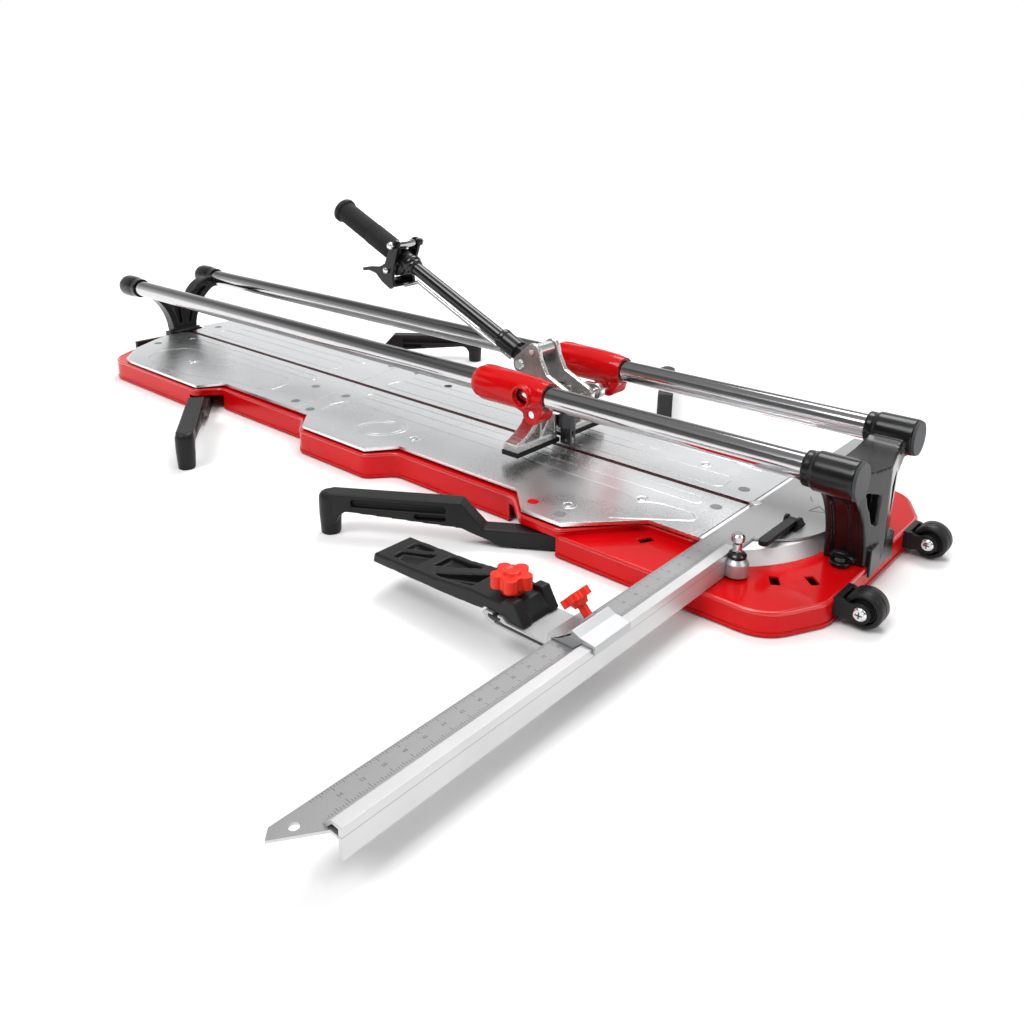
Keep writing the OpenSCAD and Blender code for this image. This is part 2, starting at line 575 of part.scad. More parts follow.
module wheel_holder() color("#8a8d91") difference() {
    union() {
        translate([301, 0, 76]) cylinder(r = 13, h = 24);
        translate([301, 0, 100]) cylinder(r1 = 13, r2 = 10, h = 4);
        translate([295, -6, 51]) cube([17, 12, 27]);
    }
    translate([288 - 8, -20, 60]) cube([8, 40, 60]);
    translate([292, -2, 40]) cube([24, 4, 30]);
    translate([score_c.x, 10, score_c.z]) rotate([90, 0, 0]) cylinder(r = 2, h = 20);
}
module wheel_axle() color("#9ea2a7") translate([score_c.x, 6, score_c.z]) rotate([90, 0, 0])
    cylinder(r = 1.98, h = 12);
module scoring_wheel() color("#70757b") translate(score_c) rotate([90, 0, 0])
    rotate_extrude() polygon([[2.03, -1.5], [7, -1.5], [9, 0], [7, 1.5], [2.03, 1.5]]);

// ---- handle, drawn along -X from its pivot and then tilted ----
module handle_place() translate([handle_pivot.x, 0, handle_pivot.y]) rotate([0, handle_tilt, 0]) children();
// Round bar along the handle between two distances from the pivot
module along(s0, s1, y = 0, h = 0) translate([-s1, y, h]) rotate([0, 90, 0]) linear_extrude(s1 - s0) children();
module handle_bolt() color("#aeb2b7") translate([handle_pivot.x, 0, handle_pivot.y]) rotate([90, 0, 0]) {
    translate([0, 0, -24]) cylinder(r = 4.95, h = 48);
    translate([0, 0, 24]) cylinder(r1 = 8, r2 = 6, h = 4);
    translate([0, 0, -28]) cylinder(r = 8, h = 4, $fn = 6);
}
module handle_knuckle() color("#1e1f22") handle_place() difference() {
    union() {
        translate([0, 15.6, 0]) rotate([90, 0, 0]) cylinder(r = 12, h = 31.2);
        translate([-30, -10, -10]) cube([30, 20, 20]);
        along(26, 60) circle(r = 14);
    }
    translate([0, 20, 0]) rotate([90, 0, 0]) cylinder(r = 5, h = 40);
    along(40, 70) circle(d = tube_d);
    along(-2, 80, 0, -18) circle(r = 3.4);
}
module handle_tube() color("#17181a") handle_place() difference() {
    along(40, handle_len - 4) circle(d = tube_d);
    along(39, handle_len) circle(d = tube_d - 4);
}
module grip() color("#232427") handle_place() difference() {
    along(handle_len - grip_len, handle_len - 4) circle(r = 17);
    along(handle_len - grip_len - 1, handle_len) circle(d = tube_d);
}
module grip_cap() color("#1b1c1e") handle_place() {
    along(handle_len - 4, handle_len + 2) circle(r = 20);
    along(handle_len - 24, handle_len - 4) circle(d = tube_d - 4.4);
}
clamp_s = 264;
lever_pin_at = [-292, -22];
module lever_clamp() color("#1b1c1f") handle_place() difference() {
    union() {
        along(clamp_s, clamp_s + 36) circle(r = 15);
        translate([lever_pin_at[0] - 7, -8, -30]) cube([14, 16, 20]);
        along(clamp_s - 6, clamp_s) circle(r = 13);
    }
    along(clamp_s - 10, clamp_s + 60) circle(d = tube_d);
    translate([lever_pin_at[0], 20, lever_pin_at[1]]) rotate([90, 0, 0]) cylinder(r = 3, h = 40);
}
module lever_pin() color("#c4c8cc") handle_place()
    translate([lever_pin_at[0], 0, lever_pin_at[1]]) rotate([90, 0, 0]) {
        translate([0, 0, -24]) cylinder(r = 2.95, h = 48);
        translate([0, 0, 24]) cylinder(r = 5, h = 3);
        translate([0, 0, -27]) cylinder(r = 5, h = 3);
    }
bar_at = [-292, 23];
lever_side = concat(
    [[-301, -16]], arc(bar_at, 9, 180, 0, 8),
    [[-281, -10], [-278, -26], [-270, -38], [-275, -46], [-296, -45], [-314, -40],
     [-330, -44], [-342, -52], [-345, -48], [-330, -37], [-312, -27]]
);
module release_lever() color("#1a1b1d") handle_place() difference() {
    union() {
        for (s = [-1, 1]) translate([0, s * 21 + 2.5, 0]) rotate([90, 0, 0]) linear_extrude(5)
            polygon(lever_side);
        translate([bar_at[0], 32, bar_at[1]]) rotate([90, 0, 0]) cylinder(r = 5.5, h = 64);
        translate([-295, -21, -44]) cube([20, 42, 5]);
    }
    for (s = [-1, 1]) translate([lever_pin_at[0], s * 21 + 6, lever_pin_at[1]]) rotate([90, 0, 0])
        cylinder(r = 3, h = 12);
}
module release_rod() color("#d9dcdf") handle_place() {
    along(34, 244, 0, -18) circle(r = 3);
    translate([-244, 0, -18]) sphere(r = 3);
    translate([-244, 0, -18]) rotate([0, -130, 0]) cylinder(r = 3, h = 32);
}

// ---- swing arms: low at the pivot, high at the foot ----
arm_profile = concat(
    [[-14, arm_low_z], [62, arm_low_z], [110, 22], [arm_len - 24, 32]],
    bow([arm_len - 24, 32], [arm_len - 14, 30], [arm_len - 11, 18], 5),
    [[arm_len, 18], [arm_len, 54], [110, 54], [82, arm_low_top], [-14, arm_low_top]]
);
module swing_arm(p, a) color(black) translate([p.x, p.y, 0]) rotate(a) difference() {
    union() {
        translate([0, 12, 0]) rotate([90, 0, 0]) linear_extrude(24) polygon(arm_profile);
        translate([arm_len, 0, 0]) rotate_extrude()
            polygon(concat([[0, 0], [12, 0], [13.5, 24]], bow([13.5, 44], [13.5, 54], [5, 54], 6), [[0, 54]]));
    }
    translate([0, 0, -1]) cylinder(r = 5, h = 30);
    for (y = [5, -15]) {
        translate([128, y, 38.5]) cube([arm_len - 158, 10, 9.5]);
        translate([128, y, 28.5]) cube([38, 10, 7]);
    }
}
module arm_near_left() swing_arm(arm_pivots[0], -35.7);
module arm_near_right() swing_arm(arm_pivots[1], 180 + 32.6);
module arm_far_right() swing_arm(arm_pivots[2], 180 - 59.4);
module arm_far_left() swing_arm(arm_pivots[3], 38.8);
module arm_pins() color("#8d9196") for (p = arm_pivots) translate([p.x, p.y, 0]) {
    translate([0, 0, 3]) cylinder(r = 4.95, h = 30);
}

base_tray();
base_ribs();
base_pads();
snap_bar();
bed_strips();
plate_left_near();
plate_left_far();
plate_right_near();
plate_right_far();
plate_plugs();
plate_screws();
rail_near();
rail_far();
rear_support();
front_support();
rail_end_caps();
support_bolts();
carry_handle();
turntable_bed();
wheel_bracket_near();
wheel_bracket_far();
wheel_near();
wheel_far();
wheel_axles();
shell_near();
shell_far();
rail_bushes();
cross_shaft();
hinge_block();
breaker_frame();
breaker_pad();
frame_bolts();
frame_spacer();
wheel_holder();
wheel_axle();
scoring_wheel();
handle_bolt();
handle_knuckle();
handle_tube();
grip();
grip_cap();
lever_clamp();
lever_pin();
release_lever();
release_rod();
square_ruler();
square_bolt();
plunger_boss();
plunger_pin();
cam_bracket();
cam_lever();
stop_saddle();
saddle_knob();
stop_arm();
arm_knob();
arm_pins();
arm_near_left();
arm_near_right();
arm_far_left();
arm_far_right();
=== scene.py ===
import json
import math

import bmesh
import bpy
from mathutils import Matrix, Vector


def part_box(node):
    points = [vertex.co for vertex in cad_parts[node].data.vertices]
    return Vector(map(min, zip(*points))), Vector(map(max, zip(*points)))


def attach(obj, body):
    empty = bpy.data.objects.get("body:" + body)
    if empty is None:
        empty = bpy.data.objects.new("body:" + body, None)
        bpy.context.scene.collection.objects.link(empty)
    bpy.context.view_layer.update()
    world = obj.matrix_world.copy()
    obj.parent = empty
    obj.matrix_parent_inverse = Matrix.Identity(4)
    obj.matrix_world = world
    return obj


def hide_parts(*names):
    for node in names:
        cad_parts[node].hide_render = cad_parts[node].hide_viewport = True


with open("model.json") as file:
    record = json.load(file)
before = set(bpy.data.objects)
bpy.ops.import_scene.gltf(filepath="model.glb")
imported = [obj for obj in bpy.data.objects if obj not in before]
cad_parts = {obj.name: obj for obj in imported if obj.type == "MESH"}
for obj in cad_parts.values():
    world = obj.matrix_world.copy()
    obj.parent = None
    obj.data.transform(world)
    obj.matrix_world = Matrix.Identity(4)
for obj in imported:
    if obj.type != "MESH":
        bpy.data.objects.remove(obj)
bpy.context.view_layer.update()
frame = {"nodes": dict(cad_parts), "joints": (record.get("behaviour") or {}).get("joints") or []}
nodes = frame["nodes"]

# ---------------------------------------------------------------- sizes and places
# Lengths and places are in mm in the frame of the CAD. Inside a finish they are in metres.
MM = 0.001
PIVOT = {j["name"]: Vector(j["pos_m"]) / MM for j in frame["joints"] if "pos_m" in j}
AXIS = {j["name"]: Vector(j["axis"]) for j in frame["joints"]}
Y, Z = Vector((0, 1, 0)), Vector((0, 0, 1))


def corners(node):
    """The lowest and the highest corner of a CAD node at rest."""
    low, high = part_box(node)
    return low / MM, high / MM


def middle(node):
    """The centre of a CAD node's box at rest."""
    low, high = corners(node)
    return (low + high) / 2


HALF_LENGTH, HALF_WIDTH, BED_TOP = corners("base_tray")[1]
LOW_BED_TOP = corners("turntable_bed")[0].z
DECK_TOP = corners("plate_left_near")[1].z
SHELL_START = corners("shell_near")[0].x
SCALE_TOP = 47.25  # just above the CAD's scale face, which is at 47.2
SCALE_START = -94.0  # Y of the ruler's zero

# ---------------------------------------------------------------- finishes
NOISE_LOW, NOISE_HIGH = 0.3, 0.7  # the range that most of a noise lies in


def shade(colour, factor=1.0):
    """A colour made darker or lighter, with full alpha."""
    return [min(1.0, max(0.0, c * factor)) for c in colour] + [1.0]


class Graph:
    """A material's node tree, with short calls for the nodes used here."""

    def __init__(self, name):
        self.mat = bpy.data.materials.new(name)
        self.mat.use_nodes = True
        self.tree = self.mat.node_tree
        self.tree.nodes.clear()
        out = self.tree.nodes.new("ShaderNodeOutputMaterial")
        self.bsdf = self.tree.nodes.new("ShaderNodeBsdfPrincipled")
        self.link(self.bsdf.outputs[0], out.inputs[0])
        self.where = self.tree.nodes.new("ShaderNodeTexCoord").outputs["Object"]

    def link(self, a, b):
        self.tree.links.new(a, b)

    def put(self, socket, value):
        if isinstance(value, bpy.types.NodeSocket):
            self.link(value, socket)
        else:
            socket.default_value = value

    def noise(self, scale, detail=3.0, stretch=None):
        n = self.tree.nodes.new("ShaderNodeTexNoise")
        n.inputs["Scale"].default_value = scale
        n.inputs["Detail"].default_value = detail
        at = self.where
        if stretch:
            m = self.tree.nodes.new("ShaderNodeMapping")
            m.inputs["Scale"].default_value = stretch
            self.link(at, m.inputs["Vector"])
            at = m.outputs[0]
        self.link(at, n.inputs["Vector"])
        return n.outputs["Fac"]

    def spread(self, value, a, b, lo=0.0, hi=1.0):
        """The value's range a to b, mapped to lo to hi."""
        n = self.tree.nodes.new("ShaderNodeMapRange")
        n.inputs["From Min"].default_value = a
        n.inputs["From Max"].default_value = b
        n.inputs["To Min"].default_value = lo
        n.inputs["To Max"].default_value = hi
        self.link(value, n.inputs["Value"])
        return n.outputs[0]

    def math(self, op, a, b=0.0):
        n = self.tree.nodes.new("ShaderNodeMath")
        n.operation = op
        self.put(n.inputs[0], a)
        self.put(n.inputs[1], b)
        return n.outputs[0]

    def mix(self, fac, a, b):
        n = self.tree.nodes.new("ShaderNodeMix")
        n.data_type = "RGBA"
        self.put(n.inputs["Factor"], fac)
        self.put(n.inputs["A"], a)
        self.put(n.inputs["B"], b)
        return n.outputs["Result"]

    def between(self, noise, a, b):
        """A colour that wanders between two others with a noise."""
        return self.mix(self.spread(noise, NOISE_LOW, NOISE_HIGH), a, b)

    def part(self, vector, axis):
        """One component of a vector."""
        n = self.tree.nodes.new("ShaderNodeSeparateXYZ")
        self.link(vector, n.inputs[0])
        return n.outputs[axis]

    def facing(self, axis):
        """How far a face looks along an axis, from -1 to 1."""
        geometry = self.tree.nodes.new("ShaderNodeNewGeometry")
        return self.part(geometry.outputs["True Normal"], axis)

    def soft_edges(self, radius):
        n = self.tree.nodes.new("ShaderNodeBevel")
        n.samples = 4
        n.inputs["Radius"].default_value = radius
        return n.outputs[0]

    def bump(self, height, strength, distance, normal):
        n = self.tree.nodes.new("ShaderNodeBump")
        n.inputs["Strength"].default_value = strength
        n.inputs["Distance"].default_value = distance
        self.link(height, n.inputs["Height"])
        self.link(normal, n.inputs["Normal"])
        return n.outputs[0]

    def finish(self, colour, rough, metallic, normal):
        """Feed the shader, and give the finished material."""
        inputs = self.bsdf.inputs
        self.put(inputs["Base Color"], colour)
        self.put(inputs["Roughness"], rough)
        self.put(inputs["Metallic"], metallic)
        self.put(inputs["Normal"], normal)
        return self.mat


def surface(name, colour, rough, metallic=0.0, tint=0.06, tint_scale=14.0, vary=0.06, grain=260.0,
            grain_depth=0.00008, grain_strength=0.25, stretch=None, edge=0.0008, specular=0.5,
            coat=0.0, coat_rough=0.1):
    """A finish that drifts a little in colour and roughness, with a fine grain and soft edges."""
    g = Graph(name)
    broad = g.noise(tint_scale, 4.0, stretch)
    fine = g.noise(grain, 5.0, stretch)
    drift = g.spread(broad, 0.25, 0.75, rough - vary, rough + vary)
    speck = g.spread(fine, NOISE_LOW, NOISE_HIGH, -vary / 2, vary / 2)
    g.bsdf.inputs["Specular IOR Level"].default_value = specular
    g.bsdf.inputs["Coat Weight"].default_value = coat
    g.bsdf.inputs["Coat Roughness"].default_value = coat_rough
    return g.finish(
        g.between(broad, shade(colour, 1 - tint), shade(colour, 1 + tint)),
        g.math("ADD", drift, speck),
        metallic,
        g.bump(fine, grain_strength, grain_depth, g.soft_edges(edge)),
    )


def cast_hinge(name, sides, edges):
    """A cast piece whose flat sides, those that look along Y, are dark and whose edges are bright."""
    side_cut, blur = 0.93, 0.04
    g = Graph(name)
    on_side = g.spread(g.math("ABSOLUTE", g.facing("Y")), side_cut - blur, side_cut + blur)
    cloud = g.noise(60.0, 5.0)
    fine = g.noise(220.0, 5.0)
    dark = g.between(cloud, shade(sides, 0.8), shade(sides, 1.3))
    light = g.between(cloud, shade(edges, 0.9), shade(edges, 1.05))
    speck = g.spread(fine, NOISE_LOW, NOISE_HIGH, 0.2, 0.3)
    return g.finish(
        g.mix(on_side, light, dark),
        g.math("ADD", speck, g.math("MULTIPLY", on_side, 0.06)),
        g.math("SUBTRACT", 1.0, on_side),
        g.bump(fine, 0.3, 0.0002, g.soft_edges(0.001)),
    )


def extrusion(name):
    """Brushed light aluminium, darker on the face that carries the scale."""
    half, fade = 0.25 * MM, 0.2 * MM
    low, high = SCALE_TOP * MM - half, SCALE_TOP * MM + half
    g = Graph(name)
    streak = g.noise(900.0, 4.0, (7.0, 1.0, 7.0))
    cloud = g.noise(12.0, 4.0)
    height = g.part(g.where, "Z")
    above = g.spread(height, low - fade, low)
    below = g.spread(height, high, high + fade, 1.0, 0.0)
    light = g.between(cloud, shade((0.56, 0.56, 0.565)), shade((0.62, 0.62, 0.625)))
    dark = g.mix(g.spread(streak, 0.25, 0.75), shade((0.29, 0.29, 0.295)), shade((0.37, 0.37, 0.375)))
    return g.finish(
        g.mix(g.math("MULTIPLY", above, below), light, dark),
        g.spread(streak, NOISE_LOW, NOISE_HIGH, 0.36, 0.44),
        0.7,
        g.bump(streak, 0.15, 0.00002, g.soft_edges(0.0009)),
    )


def rail_chrome(name):
    """Hard chrome with a painted dark reflection along the upper side, and fine drawing marks along X."""
    g = Graph(name)
    marks = g.noise(700.0, 4.0, (0.05, 1.0, 1.0))
    # faces that look upwards are darkened in colour: a painted reflection, not a finish of the chrome
    painted_top_reflection = g.spread(g.facing("Z"), 0.38, 0.72)
    bright = g.between(marks, shade((0.58, 0.57, 0.58)), shade((0.66, 0.65, 0.66)))
    return g.finish(
        g.mix(painted_top_reflection, bright, shade((0.2, 0.2, 0.205))),
        g.spread(marks, NOISE_LOW, NOISE_HIGH, 0.1, 0.15),
        1.0,
        g.bump(marks, 0.05, 0.00001, g.soft_edges(0.0005)),
    )


FINISHES = {
    "red_paint": dict(
        colour=(0.6, 0.0025, 0.0045), rough=0.2, tint=0.05, vary=0.04, grain=420.0, grain_depth=0.00003,
        grain_strength=0.12, edge=0.0026, specular=0.08, coat=0.22, coat_rough=0.07),
    "red_rim": dict(
        colour=(0.62, 0.004, 0.006), rough=0.22, tint=0.05, vary=0.04, grain=420.0, grain_depth=0.00003,
        grain_strength=0.12, edge=0.0006, specular=0.4, coat=0.8, coat_rough=0.08),
    # a very dark red for the snap bar: painted shade of the slot under the score line, not the bar's own
    # paint
    "red_painted_slot_shade": dict(
        colour=(0.07, 0.001, 0.0015), rough=0.35, tint=0.1, grain=420.0, edge=0.0006, specular=0.1),
    "red_cast": dict(
        colour=(0.56, 0.0015, 0.003), rough=0.2, vary=0.04, grain=300.0, grain_depth=0.00004,
        grain_strength=0.15, edge=0.001, specular=0.06, coat=0.34, coat_rough=0.05),
    "red_knob": dict(
        colour=(0.74, 0.022, 0.007), rough=0.32, tint=0.05, grain=500.0, edge=0.0014, specular=0.2,
        coat=0.15, coat_rough=0.15),
    "zinc": dict(
        colour=(0.78, 0.79, 0.8), rough=0.27, metallic=1.0, tint=0.035, tint_scale=7.0, vary=0.05,
        grain=640.0, grain_depth=0.00002, grain_strength=0.1, edge=0.0012),
    "steel": dict(colour=(0.72, 0.73, 0.74), rough=0.22, metallic=1.0, tint=0.05, vary=0.05, edge=0.0006),
    "chrome": dict(
        colour=(0.5, 0.49, 0.5), rough=0.12, metallic=1.0, tint=0.04, tint_scale=6.0, vary=0.02,
        grain=700.0, grain_depth=0.00001, grain_strength=0.05, stretch=(1.0, 6.0, 6.0), edge=0.0005),
    "dark_steel": dict(colour=(0.12, 0.12, 0.125), rough=0.34, metallic=0.9, tint=0.1, edge=0.0006),
    "black_cast": dict(
        colour=(0.0065, 0.0067, 0.0072), rough=0.22, tint=0.2, vary=0.05, grain=520.0,
        grain_depth=0.00005, grain_strength=0.2, edge=0.0014, specular=0.3, coat=0.08),
    "black_satin": dict(
        colour=(0.009, 0.0092, 0.0098), rough=0.42, tint=0.15, grain=900.0, grain_depth=0.0001,
        grain_strength=0.4, edge=0.0014, specular=0.24),
    "black_gloss": dict(
        colour=(0.005, 0.0052, 0.0056), rough=0.17, tint=0.1, vary=0.02, grain=300.0,
        grain_depth=0.00002, grain_strength=0.06),
    "rubber": dict(
        colour=(0.0085, 0.0087, 0.0092), rough=0.62, tint=0.15, grain=1500.0, grain_depth=0.00025,
        grain_strength=0.6, edge=0.001, specular=0.22),
    "tyre": dict(
        colour=(0.0075, 0.0077, 0.008), rough=0.45, tint=0.15, grain=800.0, grain_depth=0.0001,
        grain_strength=0.3, edge=0.001, specular=0.28),
    "anodised": dict(
        colour=(0.45, 0.455, 0.46), rough=0.38, metallic=0.7, tint=0.025, vary=0.04, grain=600.0,
        grain_depth=0.00002, grain_strength=0.15, stretch=(6.0, 1.0, 6.0), edge=0.0009),
    "alloy": dict(
        colour=(0.8, 0.79, 0.77), rough=0.24, metallic=1.0, tint_scale=30.0, vary=0.05, grain=160.0,
        grain_depth=0.00012, grain_strength=0.22, edge=0.0012),
    "ring": dict(
        colour=(0.82, 0.82, 0.83), rough=0.42, metallic=0.6, tint=0.03, vary=0.04, grain=600.0,
        grain_depth=0.00002, grain_strength=0.15, edge=0.0009),
    "cap": dict(
        colour=(0.045, 0.047, 0.05), rough=0.5, tint=0.1, grain=700.0, grain_depth=0.00006,
        grain_strength=0.3, specular=0.3),
    "plug": dict(colour=(0.2, 0.21, 0.225), rough=0.45, metallic=0.3, edge=0.0005),
    "mark": dict(colour=(0.1, 0.105, 0.11), rough=0.55, tint=0.1, edge=0.0002),
}
material = {name: surface(name, **settings) for name, settings in FINISHES.items()}
material["extrusion"] = extrusion("extrusion")
material["rail"] = rail_chrome("rail")
material["hinge"] = cast_hinge("hinge", sides=(0.2, 0.19, 0.18), edges=(0.8, 0.79, 0.77))

DECK_PLATES = "plate_left_near plate_left_far plate_right_near plate_right_far"
SUPPORT_ARMS = "arm_near_left arm_near_right arm_far_left arm_far_right"
FINISHED_IN = {
    "red_paint": "base_tray base_ribs",
    # the snap bar carries the painted slot shade
    "red_painted_slot_shade": "snap_bar",
    "red_cast": "shell_near shell_far",
    "red_knob": "saddle_knob arm_knob",
    "zinc": DECK_PLATES,
    "steel": "plate_screws wheel_axles cross_shaft handle_bolt lever_pin wheel_axle arm_pins"
             " square_bolt frame_spacer scoring_wheel",
    "rail": "rail_near rail_far",
    "chrome": "plunger_pin release_rod",
    "cap": "rail_end_caps",
    "dark_steel": "support_bolts frame_bolts bed_strips rail_bushes wheel_holder",
    "black_cast": "rear_support front_support handle_knuckle lever_clamp release_lever",
    "hinge": "hinge_block",
    "black_satin": SUPPORT_ARMS + " stop_arm wheel_bracket_near wheel_bracket_far carry_handle"
                                  " cam_lever cam_bracket",
    "black_gloss": "handle_tube",
    "rubber": "base_pads breaker_pad grip grip_cap",
    "tyre": "wheel_near wheel_far",
    "anodised": "plunger_boss stop_saddle",
    "extrusion": "square_ruler",
    "ring": "turntable_bed",
    "alloy": "breaker_frame",
    "plug": "plate_plugs",
}
for finish, names in FINISHED_IN.items():
    for node in names.split():
        mesh = nodes[node].data
        mesh.materials.clear()
        mesh.materials.append(material[finish])
        for face in mesh.polygons:
            face.material_index = 0


def paint_around(node, finish, x, y, reach=11.0):
    """Give the faces of a CAD node that lie around a point in plan another finish."""
    mesh = nodes[node].data
    mesh.materials.append(material[finish])
    for face in mesh.polygons:
        if (face.center.xy / MM - Vector((x, y))).length < reach:
            face.material_index = len(mesh.materials) - 1


paint_around("plate_plugs", "red_paint", 384, -170)
paint_around("plate_plugs", "black_satin", -25, 91)


# ---------------------------------------------------------------- points and faces of pieces
def join(parts):
    """One list of points and faces out of several."""
    verts, faces = [], []
    for v, f in parts:
        base = len(verts)
        verts += list(v)
        faces += [tuple(i + base for i in face) for face in f]
    return verts, faces


def quads(rows, cols, close_rows, close_cols):
    """The faces of a grid of points that is listed row by row."""
    faces = []
    for i in range(rows if close_rows else rows - 1):
        for j in range(cols if close_cols else cols - 1):
            i2, j2 = (i + 1) % rows, (j + 1) % cols
            faces.append((i * cols + j, i * cols + j2, i2 * cols + j2, i2 * cols + j))
    return faces


def lathe(profile, origin, axis, turns=64, loop=False):
    """A profile of (along, radius) points turned about an axis."""
    axis = Vector(axis).normalized()
    side = axis.orthogonal().normalized()
    up = axis.cross(side)
    verts = []
    for along, radius in profile:
        for i in range(turns):
            t = 2 * math.pi * i / turns
            out = side * math.cos(t) + up * math.sin(t)
            verts.append(Vector(origin) + axis * along + out * radius)
    return verts, quads(len(profile), turns, loop, True)


def rounded(outline, radii, closed, steps):
    """A path through an outline's corners, each replaced by a short curve."""
    points = [Vector(c) for c in outline]
    last = len(points) - 1
    path = []
    for i, p in enumerate(points):
        if not closed and i in (0, last):
            path.append(p)
            continue
        a, b = points[i - 1], points[(i + 1) % len(points)]
        r = min(radii[i], (a - p).length * 0.45, (b - p).length * 0.45)
        start = p + (a - p).normalized() * r
        end = p + (b - p).normalized() * r
        for k in range(steps + 1):
            t = k / steps
            path.append(start * (1 - t) ** 2 + p * 2 * t * (1 - t) + end * t ** 2)
    return path


def across(path, i, closed):
    """The direction in plan square to a path at its point i, to the left of its run."""
    before = path[i - 1] if closed or i else path[i]
    after = path[(i + 1) % len(path)] if closed or i < len(path) - 1 else path[i]
    run = (after - before).normalized()
    return Vector((-run.y, run.x))


def bead(outline, width=3.6, height=0.4, radius=10.0, closed=False, z=DECK_TOP):
    """A low round-backed bead pressed along an outline, tapering at its open ends."""
    sunk, cols = 0.05, 8
    taper = (0.05, 0.6, 0.85, 1.0)  # width and height at an open end, point by point
    path = rounded(outline, [radius] * len(outline), closed, 6)
    if not closed:
        first, last = path[0], path[-1]
        inward = (path[1] - first).normalized() * width
        outward = (path[-2] - last).normalized() * width
        lead = [first + inward * k for k in (0.12, 0.35, 0.8)]
        tail = [last + outward * k for k in (0.8, 0.35, 0.12)]
        path = [first] + lead + path[1:-1] + tail + [last]
    verts = []
    for i, p in enumerate(path):
        from_end = min(i, len(path) - 1 - i, 3)
        k = 1.0 if closed else taper[from_end]
        side = across(path, i, closed)
        for j in range(cols + 1):
            t = math.pi * j / cols
            q = p + side * (width / 2 * k * math.cos(t))
            verts.append((q.x, q.y, z - sunk + height * k * math.sin(t)))
    return verts, quads(len(path), cols + 1, closed, False)


def ring(x, y, rx, ry, turn=0.0):
    """The corners of an ellipse in plan, turned by some degrees."""
    count = 32
    c, s = math.cos(math.radians(turn)), math.sin(math.radians(turn))
    points = []
    for i in range(count):
        t = 2 * math.pi * i / count
        u, v = rx * math.cos(t), ry * math.sin(t)
        points.append((x + c * u - s * v, y + s * u + c * v))
    return points


def build(name, body, finish, verts, faces, replaced=(), smooth=True):
    """A new piece from points in mm, riding on a CAD body."""
    sharp_angle = 38.0
    mesh = bpy.data.meshes.new(name)
    mesh.from_pydata([Vector(v) * MM for v in verts], [], faces)
    bm = bmesh.new()
    bm.from_mesh(mesh)
    bmesh.ops.remove_doubles(bm, verts=bm.verts, dist=0.001 * MM)
    bmesh.ops.recalc_face_normals(bm, faces=bm.faces)
    bm.to_mesh(mesh)
    bm.free()
    if smooth:
        mesh.shade_smooth()
        mesh.set_sharp_from_angle(angle=math.radians(sharp_angle))
    mesh.materials.append(material[finish])
    piece = bpy.data.objects.new(name, mesh)
    bpy.context.scene.collection.objects.link(piece)
    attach(piece, body)
    if replaced:
        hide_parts(*replaced)


# ---------------------------------------------------------------- deck plates
SCORE_BEADS = [  # closed outlines beside the score line
    [(-88, -20), (536, -20), (536, -42), (-88, -42)],
    [(-640, -22), (-232, -22), (-222, -42), (-640, -42)],
    [(-108, 21), (530, 21), (530, 60), (-108, 60)],
    [(-650, 21), (-250, 21), (-258, 58), (-650, 58)],
    [(-640, 84), (-240, 84), (-262, 132), (-350, 132), (-392, 170), (-660, 170), (-696, 110)],
]
OPEN_BEADS = [  # lines that follow the plates' notched sides
    [(-78, -138), (-94, -104), (-90, -78), (-66, -70), (440, -70), (478, -84), (500, -70), (546, -68),
     (558, -84), (476, -146)],
    [(545, 104), (503, 108), (446, 172), (352, 172), (326, 132), (88, 132), (50, 172), (-88, 172),
     (-118, 130), (-110, 84), (400, 80)],
]
WIDE_BEAD = [(-567, -167), (-602, -117), (-575, -72), (-257, -62), (-238, -78), (-227, -130),
             (-330, -140), (-429, -178)]
OVAL_AT, OVAL_TURN = (51, -121), 40
SCREW_RINGS = [(478, -76), (423, -150), (478, 76), (120, -120), (120, 120), (-480, -120), (-480, 120)]


def plate_beads():
    """The stiffening lines pressed into the four deck plates, and the rings round their screws."""
    parts = [bead(outline, closed=True) for outline in SCORE_BEADS]
    parts += [bead(outline) for outline in OPEN_BEADS]
    parts.append(bead(WIDE_BEAD, radius=16, closed=True))
    for rx, ry, width, height in ((38, 31, 2.6, 0.5), (30, 24, 2.0, 0.4)):
        parts.append(bead(ring(*OVAL_AT, rx, ry, OVAL_TURN), width, height, radius=1, closed=True))
    for x, y in SCREW_RINGS:
        parts.append(bead(ring(x, y, 8.5, 8.5), width=3.0, height=0.6, radius=1, closed=True))
    build("plate_beads", "base", "zinc", *join(parts))


plate_beads()

# ---------------------------------------------------------------- ruler
STRIP_X = (590.8, 613.2)  # the two edges of the strip that carry ticks
MARK_TOP = SCALE_TOP + 0.02


def figure(text, size, at):
    """The outline of a number, lying flat and read from the ruler's outer side."""
    curve = bpy.data.curves.new("figure", "FONT")
    curve.body = text
    curve.size = size
    curve.align_x = "CENTER"
    curve.align_y = "CENTER"
    temp = bpy.data.objects.new("figure", curve)
    mesh = bpy.data.meshes.new_from_object(temp)
    turn = Matrix.Rotation(math.radians(90.0), 3, "Z")
    verts = [turn @ v.co + Vector(at) for v in mesh.vertices]
    faces = [tuple(p.vertices) for p in mesh.polygons]
    bpy.data.objects.remove(temp)
    bpy.data.meshes.remove(mesh)
    return verts, faces


def flat_face(x0, x1, y0, y1, z):
    """One level face."""
    return [(x0, y0, z), (x1, y0, z), (x1, y1, z), (x0, y1, z)], [(0, 1, 2, 3)]


